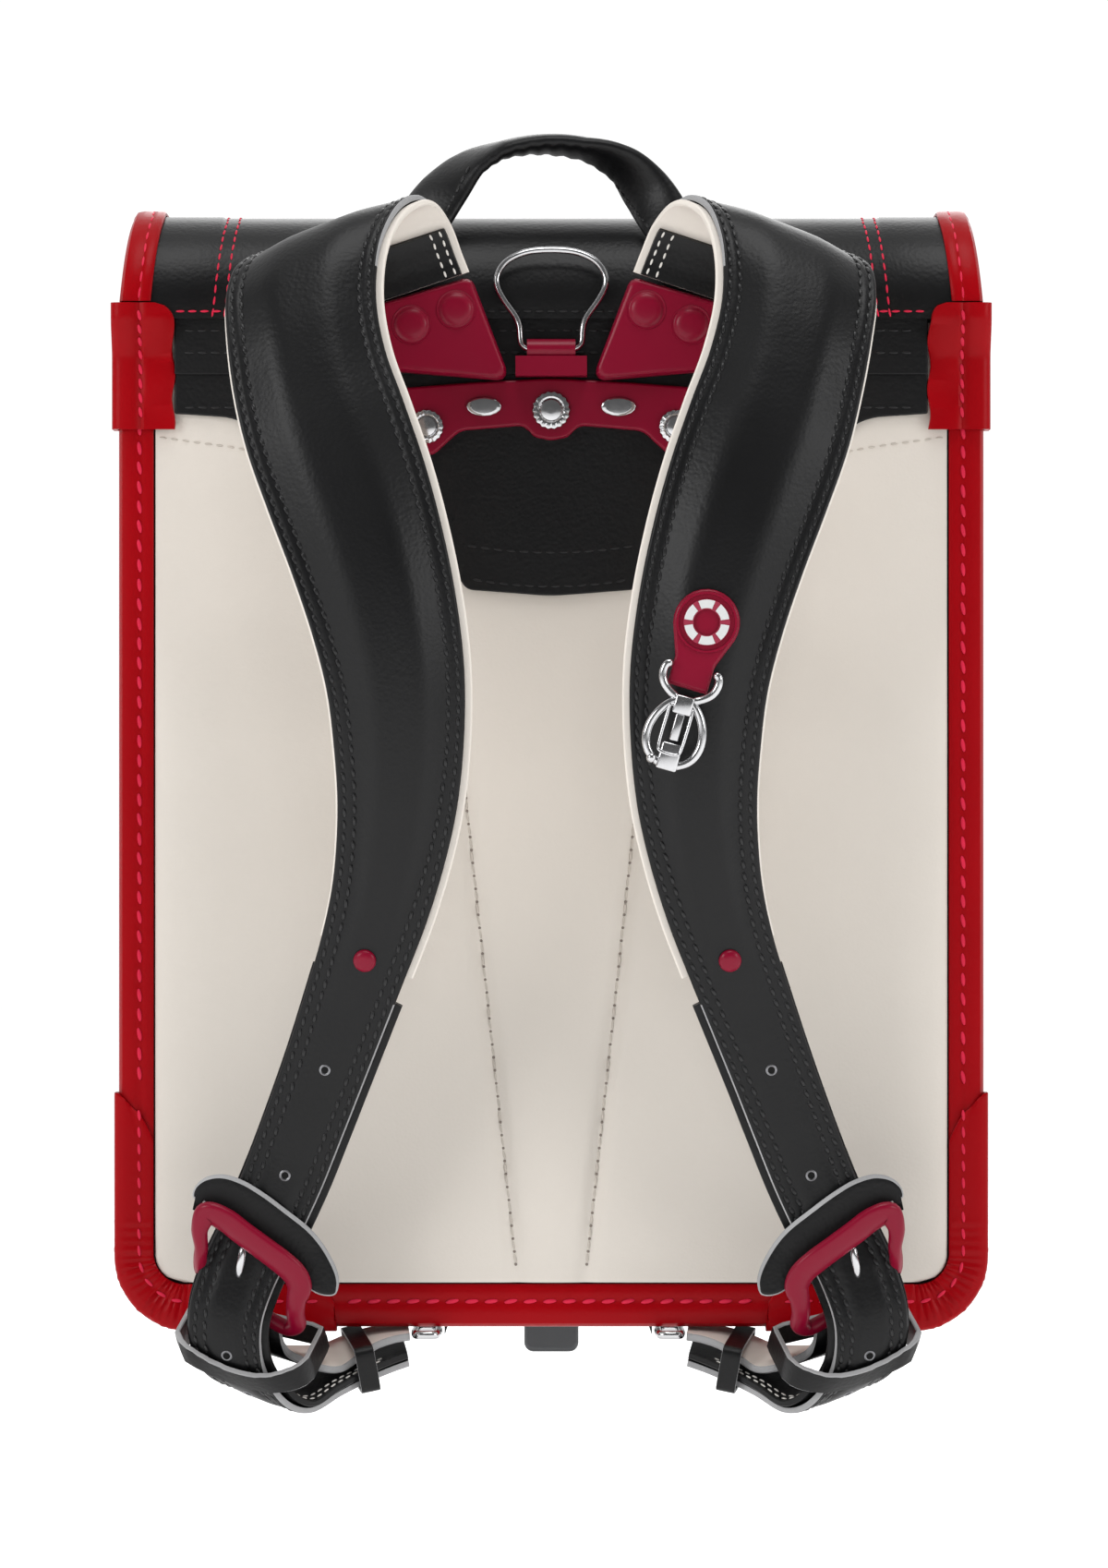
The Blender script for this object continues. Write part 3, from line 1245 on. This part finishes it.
# The guards: half-moon flaps of black leather behind the buckles. The cut edge is bevelled and grey,
# widest along the top.
guard_lean = 0.06
guard_rows = [
    # across and down, as for the straps
    (0.788, 0.880), (0.811, 0.876), (0.806, 0.867), (0.784, 0.859), (0.746, 0.856), (0.700, 0.861),
    (0.652, 0.872), (0.600, 0.887), (0.543, 0.905), (0.509, 0.922), (0.484, 0.942), (0.481, 0.953),
    (0.490, 0.962), (0.525, 0.962), (0.575, 0.949), (0.630, 0.932), (0.700, 0.910), (0.755, 0.892),
]
guard_steps = 120
guard_edge_rings = 5
guard_profile = (
    # inset, out, 1 where the inset is widest at the top
    (0.0016, 0, 0), (0.0003, 0, 0), (0, 0.0003, 0), (0, 0.0011, 0), (0.0003, 0.0015, 1),
    (0.0008, 0.0017, 1), (0.0022, 0.0017, 1),
)


def guard_paint(row, column):
    """Grey on the guard's cut edge, black on its face."""
    return 1 if row < guard_edge_rings else 0


for side, name in ((-1, "left"), (1, "right")):
    shift = right_lean * 0.8 if side > 0 else 0.0
    corners = []
    for across, down in guard_rows:
        corners.append(Vector((side * back_half * across - shift, 0, body_top - body_height * down)))
    outline = round_trip(corners, guard_steps)
    guard_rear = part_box(f"guard_{name}")[1].y
    middle = sum(outline, Vector()) / len(outline)
    slope_from = belt_place(side, 22.4, 0.5, 0)[0].z
    edge_ways = []
    for number, point in enumerate(outline):
        along = outline[(number + 1) % guard_steps] - outline[number - 1]
        way = Vector((along.z, 0, -along.x)).normalized()
        edge_ways.append(way if way.dot(point - middle) > 0 else -way)
    rings = []
    for inset, out, spread in guard_profile:
        ring = []
        for point, way in zip(outline, edge_ways):
            topside = max(0.0, way.dot(Vector((-side * 0.45, 0, 0.89))))
            reach = inset * (0.55 + 1.0 * topside) if spread else inset
            z = point.z - way.z * reach
            y = guard_rear - out - max(0.0, (z - slope_from) * guard_lean)
            ring.append(Vector((point.x - way.x * reach, y, z)))
        rings.append(ring)
    guard_looks = [black_leather, cut_edge]
    placed(
        f"guard_flap_{name}", swept(rings, paint=guard_paint), guard_looks,
        [f"guard_{name}"], crease=50
    )


# The keepers: loops of black leather with grey edges. The wide one follows the curl of the belt in
# front and runs behind both belts; the small one sits near the belt's tip.
keeper_wall = 0.0017
keeper_half = 0.0040
keeper_dip = 0.55
keeper_row = 25
keeper_inner = 0.0108
keeper_outer = 0.0021
keeper_depth = 0.0235
keeper_corner = 0.0032
keeper_steps = 24
end_keeper_row = 30


def strap_frame(side, row):
    """A strap's station at a row, with the way along it."""
    stations = strap_sets[side]
    at = row * steps_per_row
    step = min(int(at), len(stations) - 2)
    before, after = stations[step], stations[step + 1]
    station = {key: before[key] + (after[key] - before[key]) * (at - step) for key in before}
    ends = [place["inner"] + place["across"] * place["width"] for place in (before, after)]
    return station, (ends[1] - ends[0]).normalized()


def keeper_paint(row, column):
    """Grey on the keeper's two long edges, black on its face and back."""
    return 1 if column in (0, 2, 3, 4, 7, 8) else 0


for side, name in ((-1, "left"), (1, "right")):
    flat, flat_along = strap_frame(side, keeper_row)
    places = []
    spread = flat["width"] + keeper_inner + keeper_outer
    for step in range(keeper_steps + 1):
        share = step / keeper_steps
        across = share * spread - keeper_inner
        ease = 1 - (2 * share - 1) ** 2
        station, along = strap_frame(side, keeper_row + keeper_dip * ease)
        corner = min(share, 1 - share) * spread
        rounding = keeper_corner - math.sqrt(
            max(0, keeper_corner**2 - max(0, keeper_corner - corner) ** 2)
        )
        out = belt_top + clearance - rounding
        tuck = max(0.0, -across, across - station["width"])
        out -= 0.15 * tuck
        places.append((on_ribbon(station, across, out), along))
    for out in (-0.004, -0.009, -0.014, -0.0195, -0.0225):
        places.append((on_ribbon(flat, flat["width"] + keeper_outer, out), flat_along))
    for step in range(9):
        share = 0.06 + 0.88 * step / 8
        across = flat["width"] + keeper_outer - share * spread
        places.append((on_ribbon(flat, across, -keeper_depth), flat_along))
    for out in (-0.0225, -0.0195, -0.014, -0.009, -0.004):
        places.append((on_ribbon(flat, -keeper_inner, out), flat_along))
    middle = sum((point for point, along in places), Vector()) / len(places)
    rings = []
    for number, (point, along) in enumerate(places):
        run = places[(number + 1) % len(places)][0] - places[number - 1][0]
        outward = run.cross(along).normalized()
        if outward.dot(point - middle) < 0:
            outward = -outward
        section = [
            (-1, 0.0003), (-0.92, 0.0), (0.92, 0.0), (1, 0.0003), (1, keeper_wall - 0.0003),
            (0.92, keeper_wall)
        ]
        section += [(0, keeper_wall + 0.0002), (-0.92, keeper_wall), (-1, keeper_wall - 0.0003)]
        rings.append([point + along * keeper_half * shift + outward * lift for shift, lift in section])
    placed(
        f"keeper_{name}_loop", swept(rings, closed=True, paint=keeper_paint), [black_leather, cut_edge],
        [f"keeper_{name}"]
    )

    part = f"end_keeper_{name}"
    mesh = solid_copy(part)
    station, along = strap_frame(side, end_keeper_row)
    bmesh.ops.join_triangles(
        mesh, faces=mesh.faces, angle_face_threshold=0.5, angle_shape_threshold=1.0, cmp_seam=False,
        cmp_sharp=False, cmp_uvs=False, cmp_vcols=False, cmp_materials=False,
    )
    for face in mesh.faces:
        face.material_index = 1 if abs(face.normal.dot(along)) > 0.8 else 0
    corners = [edge for edge in mesh.edges if edge.calc_face_angle(0) > 1.2]
    bmesh.ops.bevel(
        mesh, geom=corners, offset=0.0003, segments=2, profile=0.5, material=-1, affect="EDGES",
        clamp_overlap=True
    )
    keeper = placed(f"{part}_loop", mesh, [black_leather, cut_edge], [part], crease=180)
    rounding = keeper.modifiers.new("rounding", "SUBSURF")
    rounding.levels = rounding.render_levels = 2


# The lower belts: stiff black strips with grey edges, sewn to the body under the bottom. They are
# cream inside, where they turn up towards the buckle's lower bar.
lower_wall = 0.0024
lower_rows = [
    # inner across, down, out, outer across, down, out, puff, lean
    (0.618, 0.996, 0.385, 0.795, 0.972, 0.385, 0, 0.8),
    (0.610, 1.012, 0.375, 0.785, 0.990, 0.360, 0, 0.8),
    (0.600, 1.021, 0.338, 0.750, 1.006, 0.290, 0, 0.8),
    (0.568, 1.029, 0.296, 0.690, 1.017, 0.170, 0, 0.8),
    (0.520, 1.036, 0.300, 0.600, 1.022, 0.050, 0, 0.8),
    (0.480, 1.037, 0.255, 0.530, 1.022, -0.040, 0, 0.8),
    (0.440, 1.028, 0.205, 0.475, 1.015, -0.110, 0, 0.8),
    (0.400, 1.018, 0.160, 0.425, 1.010, -0.175, 0, 0.8),
    (0.360, 1.013, 0.120, 0.376, 1.008, -0.220, 0, 0.8),
    (0.325, 1.011, 0.095, 0.334, 1.007, -0.260, 0, 0.8),
]


def lower_paint(row, column):
    """Black outside, cream inside and grey on both edges."""
    return {0: 0, 4: 2}.get(column, 1)


for side, name in ((-1, "left"), (1, "right")):
    rings = []
    for station in ribbon_stations(lower_rows, side):
        width = station["width"]
        section = [
            (0.0007, 0.0), (width - 0.0007, 0.0), (width, -0.0005), (width, -lower_wall + 0.0004),
            (width - 0.0004, -lower_wall), (0.0004, -lower_wall), (0.0, -lower_wall + 0.0004),
            (0.0, -0.0005),
        ]
        rings.append([on_ribbon(station, across, out) for across, out in section])
    looks = [black_leather, cut_edge, cream_lining]
    placed(
        f"lower_belt_strip_{name}", swept(rings, paint=lower_paint), looks,
        [f"lower_belt_{name}"]
    )


# The key holder on the right strap: a maroon tab with a ring of plain reflector bars, and a steel
# hook whose oval ring has a sprung wire gate.
dressed("key_tab", [maroon], 0.0005)
reflector_white = moulding("reflector_white", (0.60, 0.61, 0.61), 0.3)
reflector_base = moulding("reflector_base", (0.30, 0.03, 0.06), 0.35)
dressed("key_reflector", [reflector_base], 0.0001)
disc_low, disc_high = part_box("key_reflector")
disc_middle = (disc_low + disc_high) / 2
disc_middle.y = disc_low.y + 0.0001
bar_count = 6
bar_turn = 8
bar_spread = 44
bar_steps = 8
bar_section = [
    # from the middle, out of the disc
    (0.0042, 0), (0.0042, 0.0003), (0.0067, 0.0003), (0.0067, 0),
]
for number in range(bar_count):
    start = math.radians(360 / bar_count * number + bar_turn)
    rings = []
    for step in range(bar_steps + 1):
        angle = start + math.radians(bar_spread) * step / bar_steps
        ray = Vector((math.cos(angle), 0, math.sin(angle)))
        rings.append([disc_middle + ray * reach + forward * lift for reach, lift in bar_section])
    placed(f"reflector_bar_{number}", swept(rings), [reflector_white], crease=30)
rim = [(0.0083, -0.0003, 0), (0.0084, 0.00015, 0), (0.0090, 0.00015, 0), (0.0091, -0.0003, 0)]
rings = list(map(list, zip(*turned(disc_middle - forward * 0.0003, forward, rightward, rim))))
placed("key_tab_rim", swept(rings, closed=True), [maroon])


# The key hook: cast and plated steel. Two horns curl round the tab's folded end, a block carries the
# gate, and below it hangs an oval ring with a sleeve and a small knob at its foot.
key_row = 11.15
hook_out = 0.0042
hook_top = -0.0237
hook_half = 0.0081
hook_length = 0.020
hook_wire = 0.0013
wire_around = 12
knob_radius = 0.0016
key_station = strap_frame(1, key_row)[0]
key_at = on_ribbon(key_station, key_station["width"] * 0.5, 0)
key_first, key_out = key_station["across"], key_station["out"]
key_up = key_out.cross(key_first).normalized()
if key_up.z < 0:
    key_up = -key_up


def key_point(first, up, out):
    """A point of the key holder from its own middle on the strap's face."""
    return key_at + key_first * first + key_up * up + key_out * (strap_wall + strap_puff + clearance + out)


def wire(points, radius, flat=1.0, closed=False, steps=48):
    """Wire of an oval section through points, its ends rounded."""
    if closed:
        line = round_trip(points, steps)
    else:
        line = [smooth_point(points, step / steps) for step in range(steps + 1)]
    rings = []
    for number, point in enumerate(line):
        after = line[(number + 1) % len(line)] if closed else line[min(number + 1, len(line) - 1)]
        before = line[number - 1] if closed else line[max(number - 1, 0)]
        along = (after - before).normalized()
        side_way = along.cross(key_out).normalized()
        to_end = 9 if closed else min(number, len(line) - 1 - number)
        taper = (0.35, 0.75, 0.93, 1)[min(3, to_end)]
        ring = []
        for spoke in range(wire_around):
            angle = spoke / wire_around * math.tau
            across = side_way * math.cos(angle) * radius * taper
            ring.append(point + across + key_out * math.sin(angle) * radius * flat * taper)
        rings.append(ring)
    return swept(rings, closed=closed)


def block_of(low_first, high_first, low_up, high_up, low_out, high_out):
    """A cast block with rounded edges."""
    mesh = bmesh.new()
    bmesh.ops.create_cube(mesh, size=1.0)
    for corner in mesh.verts:
        share = corner.co + Vector((0.5, 0.5, 0.5))
        corner.co = key_point(
            low_first + (high_first - low_first) * share.x, low_up + (high_up - low_up) * share.y,
            low_out + (high_out - low_out) * share.z
        )
    bmesh.ops.recalc_face_normals(mesh, faces=mesh.faces)
    bmesh.ops.bevel(
        mesh, geom=list(mesh.edges), offset=0.0006, segments=3, profile=0.5, material=-1, affect="EDGES",
        clamp_overlap=True
    )
    return mesh


ring_middle = hook_top - hook_length / 2
oval = []
for step in range(16):
    angle = step / 16 * math.tau
    narrow = 1 - 0.16 * math.cos(angle)
    up = ring_middle + math.cos(angle) * hook_length / 2
    oval.append(key_point(math.sin(angle) * hook_half * narrow, up, hook_out))
hook_parts = [("ring", wire(oval, hook_wire, 0.85, closed=True, steps=72))]
for side, name in ((-1, "left"), (1, "right")):
    horn = [
        (0.0020, 0.0), (0.0048, 0.0013), (0.0074, 0.0036),
        (0.0084, 0.0066), (0.0078, 0.0091), (0.0063, 0.0095),
    ]
    line = [key_point(side * first, hook_top + up, hook_out) for first, up in horn]
    hook_parts.append((f"horn_{name}", wire(line, hook_wire * 0.95, 0.9, steps=30)))
foot = hook_top - hook_length
hook_blocks = [
    # name, left, right, bottom, top, rear, front
    ("block", -0.0028, 0.0028, hook_top - 0.0044, hook_top + 0.0012, -0.0012, 0.0026),
    ("sleeve", -0.0030, 0.0032, foot - 0.0014, foot + 0.0068, -0.0014, 0.0018),
    ("leaf", -0.0013, 0.0013, hook_top - 0.0125, hook_top - 0.0040, 0.0002, 0.0010),
]
for name, left, right, bottom, top, rear, front in hook_blocks:
    hook_parts.append((name, block_of(left, right, bottom, top, hook_out + rear, hook_out + front)))
knob = bmesh.new()
bmesh.ops.create_uvsphere(knob, u_segments=20, v_segments=14, radius=knob_radius)
bmesh.ops.translate(knob, vec=key_point(-0.0048, foot + 0.0010, hook_out), verts=knob.verts)
hook_parts.append(("knob", knob))
for number, (name, mesh) in enumerate(hook_parts):
    placed(f"key_hook_{name}", mesh, [steel], ["key_hook"] if number == 0 else (), crease=50)
softened("key_gate", steel, 0.0001, body="key_gate_body")
